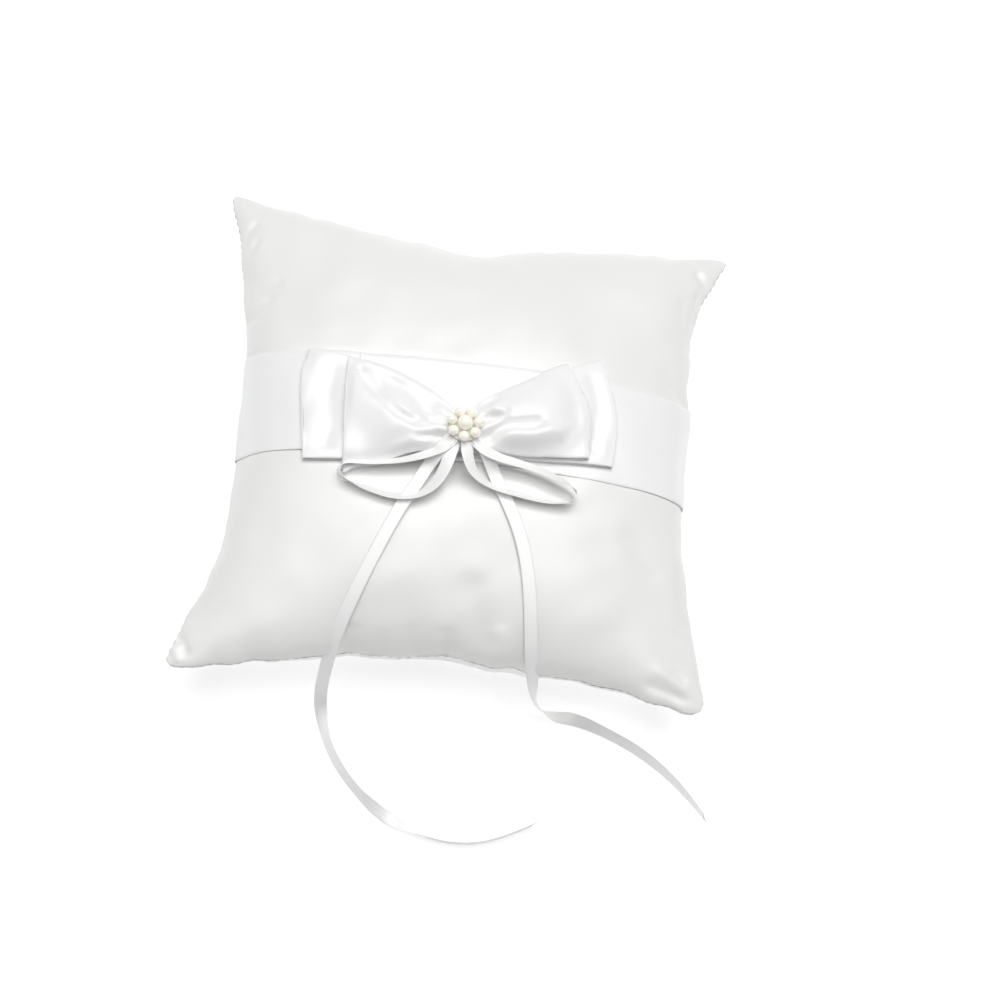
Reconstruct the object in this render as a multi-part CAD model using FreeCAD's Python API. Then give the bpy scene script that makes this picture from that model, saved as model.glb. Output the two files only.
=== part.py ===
"""Ring bearer pillow: a square satin cushion with a wide ribbon band, a flat bow, a pearl flower
and a narrow ribbon tied in a small bow with two long tails.

Millimetres. Origin on the table, under the middle of the cushion. +X runs along the band,
+Y to the back of the cushion, +Z up.
"""
import FreeCAD
import Part
import math
import os

Vector = FreeCAD.Vector
UP = Vector(0, 0, 1)

# Cushion
CORNER_X = 102.0        # half the width, at the corner tips
CORNER_Y = 100.0        # half the depth, at the corner tips
EDGE_IN = 12.0          # how far the middle of each edge is pulled in
SEAM_Z = 30.0           # height of the seam between the two panels
CROWN = 25.5            # rise of the top panel above the seam
PANEL = 0.5             # cloth with its interlining
ROUNDING = 2.2          # exponents that set how full the cushion is
FULLNESS = 0.55
FLATTENING = 3.5        # how far the underside is flattened by resting
SEAM_POINTS = 60        # points along each side of the seam
RIM_GAP = 0.3           # from the seam's height to each panel's rim
FILL_GAP = 0.3          # from a panel to the filling
GRID = 19               # points each way in a cushion surface

# Wide ribbon
RIBBON = 0.4            # thickness
CLEAR = 0.2             # between layers that touch
BAND_WIDTH = 43.0
BAND_Y = 5.0            # middle of the band
BAND_FLAT = 71.0        # half the length of the band's flat underside
BAND_RISE = 10.0        # angle at which it leaves the surface, in degrees
LAP_PLACE = -0.51       # middle of the lap, under the bow's left loop, as a share of CORNER_X
BAND_LAP = 0.08         # each end reaches this far past it
SIDE_CLEAR = 0.9        # more room at the sides, where the cushion is wider than at its middle
LAP_REST = 0.35         # share of the upper lap's rise that is left one lap beyond its end

# Flat bow
BOW_ANGLE = 7.5
BOW_PIVOT = Vector(0, -4.5, 0)
BOW_DEPTH = 90.0        # of the block that the bow's outline is cut from
PINCH = 0.75            # between the strands at the bow's waist
WAIST_SPREAD = 18.0     # how quickly a loop opens beside its waist
BOW_LOWER = dict(left=-61.5, right=57.0, loft=6.0)
BOW_UPPER = dict(left=-46.0, right=47.5, loft=8.0)
LOWER_OUTLINE = [(-70, 27), (-62, 26), (-6, 9), (6, 9), (52, 35), (70, 37), (70, -8),
                 (5, -14), (-5, -15), (-60, -22), (-70, -23)]
UPPER_OUTLINE = [(-60, 26), (-47, 25), (-5, 8), (5, 8), (39, 34), (60, 38), (60, -6),
                 (5, -13.5), (-5, -14.5), (-44, -23), (-60, -25)]

# Knot, pearls and threads
THREAD = 0.4
LAP_ROWS = (-4.0, 4.0)  # two rows of stitches through the band's lap, from its middle
LAP_STITCHES = 8
LAP_PITCH = 5.0
HOLE_ROOM = 0.05        # from a stitch to the side of its hole
BINDING_TURNS = (-1.5, -0.5, 0.5, 1.5)  # X of each turn of thread round the bow's waist
BINDING_FRONT = -16.2
BINDING_BACK = 10.2
BINDING_BEND = 0.5
BINDING_RADIUS = 0.14
ANCHORS = [(-3.2, -15.6), (-3.2, 10.0), (3.2, -15.6), (3.2, 10.0)]
KNOT_SIZE = Vector(11.0, 9.0, 2.4)
KNOT_ROUNDING = 0.45    # share of the knot's height
FELT_RADIUS = 6.4
FELT_THICK = 0.8
PEARL_CENTRE = 5.9      # diameters
PEARL_PETAL = 4.1
PETALS = 7
PETAL_RING = 5.35       # radius of the ring through the petal pearls
PETAL_TURN = 13.0       # degrees from +X to the first petal
BORE = 0.7              # hole through a pearl
STITCH_PITCH = 3.6
STITCH_LENGTH = 2.4
CLOSING_LENGTH = 2.0
TURNING_GAP = (-44.0, 6.0)   # X range of the front seam that is closed by hand

# Narrow ribbon: a tube of the same cross-section area as the 5 mm by 0.4 mm ribbon
TIE_TUBE = 1.6
TAIL_LEFT = [(-4, -8, 62.2), (-7, -12.6, 63), (-9.8, -16.6, 60.2), (-12.5, -20.5, 57.4),
             (-16, -27.5, 56.4), (-20.4, -35.5, 55.5), (-25, -46, 54.0), (-29.7, -57.5, 51.6),
             (-34.5, -70, 47.8), (-38.6, -81, 42.6), (-41.4, -90, 34.5), (-43, -95.5, 22),
             (-43.6, -99, 9), (-42.6, -105, 1.2), (-38.6, -117.5, 1.0), (-31, -129, 1.0),
             (-19.5, -140, 1.0), (-4, -148.5, 1.0), (14, -151.8, 1.0), (31, -148, 1.0),
             (45, -139.5, 1.0)]
TAIL_RIGHT = [(4.5, -8, 62.2), (8, -12.2, 62.8), (11, -16.6, 60), (13.8, -21.4, 57),
              (18.6, -29.5, 56), (24, -39.5, 54.8), (28.2, -51, 52.8), (31, -64, 49.8),
              (32.6, -76, 45.6), (34.3, -86.5, 38.8), (37, -94, 26), (40.8, -97.5, 12),
              (47, -97, 2.6), (56, -96.4, 1.0), (68.5, -100.5, 1.0), (82, -106.6, 1.0),
              (94, -114.8, 1.0), (103.8, -124.2, 1.0), (110.4, -132, 1.0)]
LOOP_LEFT = [(-2.5, -8.5, 62.3), (-4.2, -14.5, 62.2), (-5.6, -21, 60.8), (-8.6, -27.5, 59.9),
             (-14.5, -32.4, 59.4), (-23.5, -33.8, 59.2), (-32.5, -31.8, 58.7), (-40, -29.4, 58),
             (-44.4, -28.1, 57.5), (-46.6, -25.2, 57), (-44.6, -22.3, 56.8), (-39.4, -21.2, 57.2),
             (-30.5, -20.6, 58), (-21, -19.2, 59.2), (-12, -16.2, 61), (-5.5, -12.5, 62.4),
             (-3.6, -8.5, 62.8)]
LOOP_RIGHT = [(4, -8.5, 62.3), (7.2, -12.6, 62.8), (13.5, -15.2, 61.8), (22, -16.2, 60.6),
              (30.5, -17.7, 59.6), (37.5, -20, 58.8), (42.6, -21.6, 58.2), (46, -24, 57.8),
              (44.5, -27.4, 57.6), (39.6, -28.8, 57.8), (31, -28.6, 58.5), (21.5, -27.4, 59.3),
              (12.5, -26, 60), (5.6, -22.8, 60.9), (2.4, -17, 61.9), (1.5, -11.5, 62.5),
              (1.8, -8, 62.8)]


def section_share(u, v):
    """Height of the cushion at (u, v) as a share of its crown, where u and v run from -1 to 1."""
    room = max(0.0, (1 - abs(u) ** ROUNDING) * (1 - abs(v) ** ROUNDING))
    return room ** FULLNESS


def plan(u, v, inset=0.0):
    """Place on the cushion's plan, whose corners stand out past its edges."""
    x = CORNER_X * u - EDGE_IN * (1 - v * v) * u ** 3
    y = CORNER_Y * v - EDGE_IN * (1 - u * u) * v ** 3
    return x * (1 - inset / CORNER_X), y * (1 - inset / CORNER_Y)


def sag_share(share):
    """Depth of the underside for a height share: it flattens where it rests."""
    return 1 - (1 - share) ** FLATTENING


def cushion_grid(rim_z, rise, inset, shape=lambda share: share):
    """Grid of points for one side of the cushion, closer together towards its edges."""
    steps = [math.sin(math.pi / 2 * (2 * i / (GRID - 1) - 1)) for i in range(GRID)]
    rows = []
    for v in steps:
        rows.append([Vector(*plan(u, v, inset), rim_z + rise * shape(section_share(u, v))) for u in steps])
    return rows


def borders(surface):
    """The four boundary curves of a surface, as edges."""
    u0, u1, v0, v1 = surface.bounds()
    return [c.toShape() for c in (surface.vIso(v0), surface.uIso(u1), surface.vIso(v1), surface.uIso(u0))]


def closed_between(grid_a, grid_b):
    """Solid between two grids of points, with straight walls between their borders."""
    surfaces = []
    for grid in (grid_a, grid_b):
        surface = Part.BSplineSurface()
        surface.interpolate(grid)
        surfaces.append(surface)
    faces = [s.toShape() for s in surfaces]
    faces += [Part.makeRuledSurface(a, b) for a, b in zip(borders(surfaces[0]), borders(surfaces[1]))]
    shell = Part.makeShell(faces)
    shell.sewShape()
    solid = Part.makeSolid(Part.Shell(shell.Faces))
    if solid.Volume < 0:
        solid.reverse()
    return solid


def offset_path(points, distance, closed=False):
    """Points moved sideways from a path in the XZ plane, to its left for a positive distance."""
    moved = []
    last = len(points) - 1
    for i, p in enumerate(points):
        before = points[i - 1] if i or closed else p
        after = points[(i + 1) % len(points)] if i < last or closed else p
        along = (after - before).normalize()
        moved.append(p + Vector(-along.z, 0, along.x) * distance)
    return moved


def spline_edge(points, closed=False):
    """Smooth edge through points."""
    curve = Part.BSplineCurve()
    curve.interpolate(Points=points, PeriodicFlag=closed)
    return curve.toShape()


def band_edge(points):
    """Smooth edge of the band's section, which comes down to the flat at a slope."""
    curve = Part.BSplineCurve()
    start = (points[1] - points[0]).normalize()
    slope = math.radians(BAND_RISE)
    end = Vector(math.copysign(math.cos(slope), points[-1].x - points[-2].x), 0, -math.sin(slope))
    curve.interpolate(Points=points, InitialTangent=start, FinalTangent=end)
    return curve.toShape()


def band_section():
    """Points along the middle of the band's cloth: down the right side, and back up the left side."""
    middle = CLEAR + RIBBON / 2

    def top_point(x_share, extra=0.0):
        share = section_share(x_share, 0)
        return Vector(plan(x_share, 0)[0], 0, SEAM_Z + CROWN * share + middle + extra)

    turn = [math.radians(a) for a in (20, 35, 50, 62, 72, 80, 86)]
    sides = []
    for side in (1, -1):
        points = [(plan(math.sin(t), 0)[0], SEAM_Z + CROWN * section_share(math.sin(t), 0)) for t in turn]
        points.append((plan(1, 0)[0], SEAM_Z))
        sag = SEAM_Z - RIBBON - CLEAR
        low = [(plan(math.sin(t), 0)[0], SEAM_Z - sag * sag_share(section_share(math.sin(t), 0)))
               for t in reversed(turn[4:])]
        outline = [Vector(side * x, 0, z) for x, z in points + low]
        outline = offset_path(outline, side * middle)
        outline = [p + Vector(side * SIDE_CLEAR * (abs(p.x) / CORNER_X) ** 4, 0, 0) for p in outline]
        sides.append(outline + [Vector(side * BAND_FLAT, 0, RIBBON / 2)])
    laps = [LAP_PLACE + k * BAND_LAP for k in (-1, 0, 1)]
    right = [top_point(share) for share in laps + [LAP_PLACE / 2, 0]] + sides[0]
    lifted = RIBBON + CLEAR
    left = [top_point(share, lifted) for share in reversed(laps)]
    left.append(top_point(LAP_PLACE - 2 * BAND_LAP, LAP_REST * lifted))
    return right, left + [p for p in sides[1] if p.x < left[-1].x - 2 * BAND_LAP or p.z < SEAM_Z]


def waist_band():
    """Ribbon once round the cushion. Its ends lap under the bow, and its underside is flat."""
    right, left = band_section()
    half = RIBBON / 2
    right_out, right_in = offset_path(right, half), offset_path(right, -half)
    left_out, left_in = offset_path(left, -half), offset_path(left, half)
    for out, inner in ((right_out, right_in), (left_out, left_in)):
        side = math.copysign(BAND_FLAT, out[-1].x)
        out[-1], inner[-1] = Vector(side, 0, 0), Vector(side, 0, RIBBON)
    line = Part.LineSegment
    edges = [
        band_edge(right_out), line(right_out[-1], left_out[-1]).toShape(),
        band_edge(left_out), line(left_out[0], left_in[0]).toShape(),
        band_edge(left_in), line(left_in[-1], right_in[-1]).toShape(),
        band_edge(right_in), line(right_in[0], right_out[0]).toShape(),
    ]
    face = Part.Face(Part.Wire(Part.__sortEdges__(edges)))
    band = face.extrude(Vector(0, BAND_WIDTH, 0))
    band.translate(Vector(0, BAND_Y - BAND_WIDTH / 2, 0))
    for hole in lap_stitches(THREAD / 2 + HOLE_ROOM):
        band = band.cut(hole)
    return band


def lap_stitches(radius):
    """Stitches through the two laps of the band, in two rows along its width."""
    stitches = []
    height = 2 * RIBBON + 2 * CLEAR
    first = BAND_Y - LAP_PITCH * (LAP_STITCHES - 1) / 2
    for row in LAP_ROWS:
        x = plan(LAP_PLACE, 0)[0] + row
        slope = Vector(1, 0, crown_at(x + 0.5) - crown_at(x - 0.5)).normalize()
        across = Vector(-slope.z, 0, slope.x)
        for i in range(LAP_STITCHES):
            place = Vector(x, first + LAP_PITCH * i, crown_at(x)) + across * (CLEAR / 2)
            stitches.append(Part.makeCylinder(radius, height, place, across))
    return stitches


def crown_at(x):
    """Height of the cushion's top over x, along the band."""
    share = min(1.0, abs(x) / (CORNER_X - EDGE_IN))
    for _ in range(6):
        slope = CORNER_X - 3 * EDGE_IN * share ** 2
        share = max(0.0, min(1.0, share - (plan(share, 0)[0] - abs(x)) / slope))
    return SEAM_Z + CROWN * section_share(share, 0)


def loop_height(x, loft):
    """Distance between a flat loop's two strands: small at the waist, full beside it."""
    return loft - (loft - PINCH) * math.exp(-((x / WAIST_SPREAD) ** 2))


def lower_base(x):
    """Middle of the lower strand of the lower loop layer."""
    return crown_at(x) + 2 * (RIBBON + CLEAR) + CLEAR + RIBBON / 2


def upper_base(x):
    """Middle of the lower strand of the upper loop layer, which lies on the lower layer."""
    return lower_base(x) + loop_height(x, BOW_LOWER["loft"]) + RIBBON + 2 * CLEAR


def bow_layer(size, base, outline):
    """One flattened ribbon loop, cut to its outline so that its waist is pinched."""
    points = []
    count = 44
    middle, half = (size["left"] + size["right"]) / 2, (size["right"] - size["left"]) / 2
    for i in range(count):
        turn = 2 * math.pi * i / count
        lift = math.copysign(abs(math.sin(turn)) ** 0.6, math.sin(turn))
        x = middle + half * math.cos(turn)
        points.append(Vector(x, 0, base(x) + loop_height(x, size["loft"]) * (1 + lift) / 2))
    outer = Part.Wire(spline_edge(offset_path(points, -RIBBON / 2, True), True))
    inner = Part.Wire(spline_edge(offset_path(points, RIBBON / 2, True), True))
    ring = Part.Face(outer).cut(Part.Face(inner)).Faces[0]
    ribbon = ring.extrude(Vector(0, BOW_DEPTH, 0))
    ribbon.translate(Vector(0, -BOW_DEPTH / 2, 0))
    ribbon.rotate(BOW_PIVOT, UP, BOW_ANGLE)
    corners = [Vector(x, y, 0) for x, y in outline]
    stamp = Part.Face(Part.makePolygon(corners + corners[:1])).extrude(UP * 120)
    return ribbon.common(stamp).Solids[0]


def stack_heights():
    """Heights over the middle: the top of the bow, of the knot and of the felt."""
    bow_top = upper_base(0) + PINCH + RIBBON / 2
    knot_low = bow_top + THREAD + 2 * CLEAR
    knot_top = knot_low + KNOT_SIZE.z
    return bow_top, knot_low, knot_top + CLEAR, knot_top + CLEAR + FELT_THICK


def rounded_path(points, note):
    """Wire of straight runs joined by tangent arcs, as large as the runs allow."""
    points = [Vector(*p) for p in points]
    edges, start, smallest = [], points[0], None
    for before, corner, after in zip(points, points[1:], points[2:]):
        into, out = (corner - before).normalize(), (after - corner).normalize()
        half_turn = into.getAngle(out) / 2
        reach = 0.45 * min((corner - before).Length, (after - corner).Length)
        radius = reach / math.tan(half_turn)
        smallest = radius if smallest is None else min(smallest, radius)
        first, last = corner - into * reach, corner + out * reach
        centre = corner + (out - into).normalize() * (radius / math.cos(half_turn))
        middle = centre + (corner - centre).normalize() * radius
        edges += [Part.LineSegment(start, first).toShape(), Part.Arc(first, middle, last).toShape()]
        start = last
    edges.append(Part.LineSegment(start, points[-1]).toShape())
    path = Part.Wire(edges)
    print(f"{note}: length {path.Length:.1f}, smallest radius {smallest:.1f}")
    return path


def tube(points, diameter, note):
    """Round tube along a route of straight runs and tangent arcs."""
    path = rounded_path(points, note)
    start, along = Vector(*points[0]), Vector(*points[1]) - Vector(*points[0])
    section = Part.Wire(Part.makeCircle(diameter / 2, start, along))
    solid = path.makePipeShell([section], True, False)
    share = solid.Volume / (math.pi * diameter ** 2 / 4 * path.Length)
    print(f"{note}: volume is {share:.3f} of section times length, valid {solid.isValid()}")
    return solid


def rounded_rectangle(corners, bend):
    """Closed wire through four corners, each rounded by a tangent arc."""
    arcs = []
    for i, corner in enumerate(corners):
        into = (corner - corners[i - 1]).normalize()
        out = (corners[(i + 1) % 4] - corner).normalize()
        centre = corner - into * bend + out * bend
        middle = centre + (corner - centre).normalize() * bend
        arcs.append(Part.Arc(corner - into * bend, middle, corner + out * bend).toShape())
    edges = []
    for i, arc in enumerate(arcs):
        end, start = arc.lastVertex().Point, arcs[(i + 1) % 4].firstVertex().Point
        edges += [arc, Part.LineSegment(end, start).toShape()]
    return Part.Wire(edges), arcs[0].lastVertex().Point


def binding_thread():
    """Turns of thread round the pinched waist of both bow layers."""
    low = lower_base(0) - RIBBON / 2 - CLEAR / 2
    high = stack_heights()[0] + CLEAR
    turns = []
    for x in BINDING_TURNS:
        sides = ((BINDING_FRONT, low), (BINDING_BACK, low), (BINDING_BACK, high), (BINDING_FRONT, high))
        path, begin = rounded_rectangle([Vector(x, y, z) for y, z in sides], BINDING_BEND)
        section = Part.Wire(Part.makeCircle(BINDING_RADIUS, begin, Vector(0, 1, 0)))
        turns.append(path.makePipeShell([section], True, False))
    return Part.makeCompound(turns)


def anchor_stitches():
    """Short upright stitches at the front and back of the waist, from the band up over the bow."""
    low = SEAM_Z + CROWN + 2 * (RIBBON + CLEAR) + CLEAR
    height = stack_heights()[0] - low
    stitches = [Part.makeCylinder(THREAD / 2, height, Vector(x, y, low), UP) for x, y in ANCHORS]
    return Part.makeCompound(stitches)


def rim_points(count):
    """Closed row of points along the seam, inside the cushion's outline by half a panel."""
    row = [math.sin(math.pi / 2 * (2 * i / count - 1)) for i in range(count)]
    sides = [(t, -1) for t in row] + [(1, t) for t in row] + [(-t, 1) for t in row] + [(-1, -t) for t in row]
    return [Vector(*plan(u, v, PANEL / 2), SEAM_Z) for u, v in sides]


def along_polyline(points, pitch):
    """Places and directions at even steps along a closed row of points."""
    marks, walked, due = [], 0.0, pitch / 2
    for a, b in zip(points, points[1:] + points[:1]):
        step = (b - a).Length
        while walked + step > due:
            marks.append((a + (b - a) * ((due - walked) / step), (b - a).normalize()))
            due += pitch
        walked += step
    return marks


def in_turning_gap(place):
    return place.y < -CORNER_Y / 2 and TURNING_GAP[0] < place.x < TURNING_GAP[1]


def perimeter_seam():
    """Machine stitches between the two panels' rims, all round but for the turning gap."""
    stitches = []
    for place, along in along_polyline(rim_points(SEAM_POINTS), STITCH_PITCH):
        if not in_turning_gap(place):
            start = place - along * (STITCH_LENGTH / 2)
            stitches.append(Part.makeCylinder(THREAD / 2, STITCH_LENGTH, start, along))
    return Part.makeCompound(stitches)


def closing_stitches():
    """Hand stitches that close the turning gap: short uprights just outside the seam."""
    stitches = []
    for place, along in along_polyline(rim_points(SEAM_POINTS), STITCH_PITCH):
        if in_turning_gap(place):
            outward = along.cross(UP) * (PANEL / 2 + THREAD / 2 + HOLE_ROOM)
            foot = place + outward - UP * (CLOSING_LENGTH / 2)
            stitches.append(Part.makeCylinder(THREAD / 2, CLOSING_LENGTH, foot, UP))
    return Part.makeCompound(stitches)


def torus(centre, radius, tube_radius):
    return Part.makeTorus(radius, tube_radius, centre, UP)


def petal_place(index, felt_top):
    turn = math.radians(PETAL_TURN + 360 * index / PETALS)
    return Vector(BOW_PIVOT.x + PETAL_RING * math.cos(turn), BOW_PIVOT.y + PETAL_RING * math.sin(turn),
                  felt_top + PEARL_PETAL / 2)


def centre_pearl_route(felt_top):
    """Thread through the centre pearl's bore and down beside it to the felt."""
    x = PEARL_CENTRE / 2 + CLEAR
    high = felt_top + PEARL_CENTRE / 2
    y = BOW_PIVOT.y
    return [(-x, y, felt_top), (-x, y, high), (x, y, high), (x, y, felt_top)]


os.makedirs("parts", exist_ok=True)
nodes = {}

underside = SEAM_Z - RIBBON - CLEAR
nodes["top_panel"] = closed_between(
    cushion_grid(SEAM_Z + RIM_GAP, CROWN - RIM_GAP, 0),
    cushion_grid(SEAM_Z + RIM_GAP, CROWN - RIM_GAP - PANEL, PANEL))
nodes["bottom_panel"] = closed_between(
    cushion_grid(SEAM_Z - RIM_GAP, RIM_GAP - underside, 0, sag_share),
    cushion_grid(SEAM_Z - RIM_GAP, RIM_GAP - underside + PANEL, PANEL, sag_share))
inside = PANEL + FILL_GAP
nodes["filling"] = closed_between(
    cushion_grid(SEAM_Z + RIM_GAP, CROWN - RIM_GAP - inside, inside),
    cushion_grid(SEAM_Z - RIM_GAP, RIM_GAP - underside + inside, inside, sag_share))
nodes["perimeter_seam"] = perimeter_seam()
nodes["closing_stitches"] = closing_stitches()

nodes["waist_band"] = waist_band()
nodes["band_overlap_stitches"] = Part.makeCompound(lap_stitches(THREAD / 2))
nodes["bow_lower_layer"] = bow_layer(BOW_LOWER, lower_base, LOWER_OUTLINE)
nodes["bow_upper_layer"] = bow_layer(BOW_UPPER, upper_base, UPPER_OUTLINE)
nodes["bow_binding_thread"] = binding_thread()
nodes["bow_anchor_stitches"] = anchor_stitches()

bow_top, knot_low, felt_low, felt_top = stack_heights()
corner = Vector(BOW_PIVOT.x - KNOT_SIZE.x / 2, BOW_PIVOT.y - KNOT_SIZE.y / 2, knot_low)
knot = Part.makeBox(KNOT_SIZE.x, KNOT_SIZE.y, KNOT_SIZE.z, corner)
nodes["tie_knot"] = knot.makeFillet(KNOT_SIZE.z * KNOT_ROUNDING, knot.Edges)
for name, route in (("tie_tail_left", TAIL_LEFT), ("tie_tail_right", TAIL_RIGHT),
                    ("tie_loop_left", LOOP_LEFT), ("tie_loop_right", LOOP_RIGHT)):
    nodes[name] = tube(route, TIE_TUBE, name)

middle = Vector(BOW_PIVOT.x, BOW_PIVOT.y, 0)
nodes["pearl_backing"] = Part.makeCylinder(FELT_RADIUS, FELT_THICK, middle + UP * felt_low, UP)
ring_centre = middle + UP * (felt_top + PEARL_PETAL / 2)
for index in range(PETALS):
    pearl = Part.makeSphere(PEARL_PETAL / 2, petal_place(index, felt_top))
    nodes[f"pearl_petal_{index + 1}"] = pearl.cut(torus(ring_centre, PETAL_RING, BORE / 2))
nodes["bead_ring_thread"] = torus(ring_centre, PETAL_RING, THREAD / 2)
pearl = Part.makeSphere(PEARL_CENTRE / 2, middle + UP * (felt_top + PEARL_CENTRE / 2))
bore_start = middle + UP * (felt_top + PEARL_CENTRE / 2) - Vector(PEARL_CENTRE, 0, 0)
nodes["pearl_centre"] = pearl.cut(Part.makeCylinder(BORE / 2, 2 * PEARL_CENTRE, bore_start, Vector(1, 0, 0)))
nodes["centre_pearl_thread"] = tube(centre_pearl_route(felt_top), THREAD * 0.6, "centre_pearl_thread")

for name, shape in nodes.items():
    shape.exportStep(f"parts/{name}.step")
    box = shape.optimalBoundingBox()
    print(f"{name}: {len(shape.Solids)} solids, valid {shape.isValid()}, volume {shape.Volume:.1f}, "
          f"x {box.XMin:.1f} {box.XMax:.1f}, y {box.YMin:.1f} {box.YMax:.1f}, "
          f"z {box.ZMin:.2f} {box.ZMax:.2f}")
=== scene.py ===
"""Ring bearer pillow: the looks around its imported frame.

The routes and shapes below are in millimetres, in the frame's own axes: origin on the table under
the middle of the cushion, +X along the band, +Y to the back, +Z up. Meshes are made in metres.
"""
import math

import bpy
import numpy as np
from mathutils import Matrix, Vector
from mathutils.bvhtree import BVHTree


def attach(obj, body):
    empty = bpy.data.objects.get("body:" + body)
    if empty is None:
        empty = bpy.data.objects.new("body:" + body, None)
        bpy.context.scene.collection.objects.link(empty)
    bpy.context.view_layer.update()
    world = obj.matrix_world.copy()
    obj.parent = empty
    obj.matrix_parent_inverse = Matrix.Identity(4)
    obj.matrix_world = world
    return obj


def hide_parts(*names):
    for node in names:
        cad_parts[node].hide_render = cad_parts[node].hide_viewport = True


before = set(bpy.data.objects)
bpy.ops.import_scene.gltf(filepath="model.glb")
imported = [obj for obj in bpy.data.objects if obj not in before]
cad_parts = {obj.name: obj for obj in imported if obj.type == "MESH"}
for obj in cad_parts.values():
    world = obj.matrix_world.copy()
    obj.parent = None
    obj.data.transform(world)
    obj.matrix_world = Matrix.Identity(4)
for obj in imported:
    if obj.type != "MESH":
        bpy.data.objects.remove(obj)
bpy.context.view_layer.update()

MM = 0.001

# ------------ camera, floor and light
TARGET = (18.18, -18.78, 30.0)
AZIMUTH, ELEVATION, ROLL = -9.037, 65.753, 14.576
DISTANCE = 867.9
LENS, SENSOR = 79.2, 36.0
NEAR, FAR = 0.05, 20                # metres
# Soft boxes: name, place, aim and size in metres, watts and colour.
LIGHTS = [
    ("top_soft_box", (0, 0.2, 1.42), (0, 0, 0), (1.5, 1.1), 14.6, (1, 0.994, 0.98)),
    ("back_soft_box", (0.08, 0.6, 1.3), (0, 0, 0), (0.7, 0.4), 3.6, (1, 0.992, 0.975)),
    ("left_soft_box", (-1.3, -0.1, 0.9), (0, 0, 0.03), (0.9, 0.9), 2.6, (0.97, 0.985, 1)),
    ("right_soft_box", (1.4, 0, 0.8), (0, 0, 0.03), (0.9, 0.7), 2.8, (0.97, 0.985, 1)),
]
WORLD_COLOUR, WORLD_STRENGTH = (0.94, 0.965, 1, 1), 0.15


def add_object(name, data):
    obj = bpy.data.objects.new(name, data)
    bpy.context.scene.collection.objects.link(obj)
    return obj


def set_inputs(node, values):
    for name, value in values.items():
        node.inputs[name].default_value = value


def camera():
    az, el, roll = (math.radians(a) for a in (AZIMUTH, ELEVATION, ROLL))
    back = Vector((math.sin(az) * math.cos(el), -math.cos(az) * math.cos(el), math.sin(el)))
    right = Vector((math.cos(az), math.sin(az), 0))
    up = back.cross(right)
    side = right * math.cos(roll) + up * math.sin(roll)
    above = up * math.cos(roll) - right * math.sin(roll)
    data = bpy.data.cameras.new("camera")
    data.lens, data.sensor_width, data.clip_start, data.clip_end = LENS, SENSOR, NEAR, FAR
    obj = add_object("camera", data)
    turn = Matrix((side, above, back)).transposed().to_4x4()
    obj.matrix_world = Matrix.Translation((Vector(TARGET) + back * DISTANCE) * MM) @ turn
    bpy.context.scene.camera = obj


def area_light(name, place, aim, size, power, colour):
    data = bpy.data.lights.new(name, "AREA")
    data.shape, data.size, data.size_y = "RECTANGLE", size[0], size[1]
    data.energy, data.color = power, colour
    obj = add_object(name, data)
    obj.location = place
    obj.rotation_euler = (Vector(aim) - Vector(place)).to_track_quat("-Z", "Y").to_euler()


def studio():
    for light in LIGHTS:
        area_light(*light)
    world = bpy.data.worlds.new("studio")
    world.use_nodes = True
    set_inputs(world.node_tree.nodes["Background"],
               {"Color": WORLD_COLOUR, "Strength": WORLD_STRENGTH})
    scene = bpy.context.scene
    scene.world = world
    scene.view_settings.view_transform = "Standard"
    scene.view_settings.look = "None"


# ------------ materials
def new_material(name):
    material = bpy.data.materials.new(name)
    material.use_nodes = True
    tree = material.node_tree
    return material, tree, tree.nodes["Principled BSDF"]


def noise(tree, vector, scale, detail=2.0, rough=0.5):
    node = tree.nodes.new("ShaderNodeTexNoise")
    set_inputs(node, {"Scale": scale, "Detail": detail, "Roughness": rough})
    tree.links.new(vector, node.inputs["Vector"])
    return node.outputs["Fac"]


def stretched(tree, source, scale):
    node = tree.nodes.new("ShaderNodeMapping")
    node.inputs["Scale"].default_value = scale
    tree.links.new(source, node.inputs["Vector"])
    return node.outputs["Vector"]


def ramp(tree, value, low=0, high=1):
    """Spread the middle of a noise from low to high."""
    node = tree.nodes.new("ShaderNodeMapRange")
    set_inputs(node, {"From Min": 0.3, "From Max": 0.7, "To Min": low, "To Max": high})
    tree.links.new(value, node.inputs["Value"])
    return node.outputs["Result"]


def paint(tree, shader, value, first, second):
    """Base colour from first to second, as value goes from 0 to 1."""
    node = tree.nodes.new("ShaderNodeMix")
    node.data_type = "RGBA"
    node.inputs["A"].default_value, node.inputs["B"].default_value = (*first, 1), (*second, 1)
    tree.links.new(value, node.inputs["Factor"])
    tree.links.new(node.outputs["Result"], shader.inputs["Base Color"])


def connect(tree, shader, **sources):
    for socket, source in sources.items():
        tree.links.new(source, shader.inputs[socket])


def bump(tree, height, strength, distance, under=None):
    node = tree.nodes.new("ShaderNodeBump")
    set_inputs(node, {"Strength": strength, "Distance": distance})
    tree.links.new(height, node.inputs["Height"])
    if under is not None:
        tree.links.new(under, node.inputs["Normal"])
    return node.outputs["Normal"]


def object_space(tree):
    return tree.nodes.new("ShaderNodeTexCoord").outputs["Object"]


def cloth_space(tree):
    """Place on the flat cloth, in metres."""
    node = tree.nodes.new("ShaderNodeAttribute")
    node.attribute_name = "cloth"
    return node.outputs["Vector"]


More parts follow.
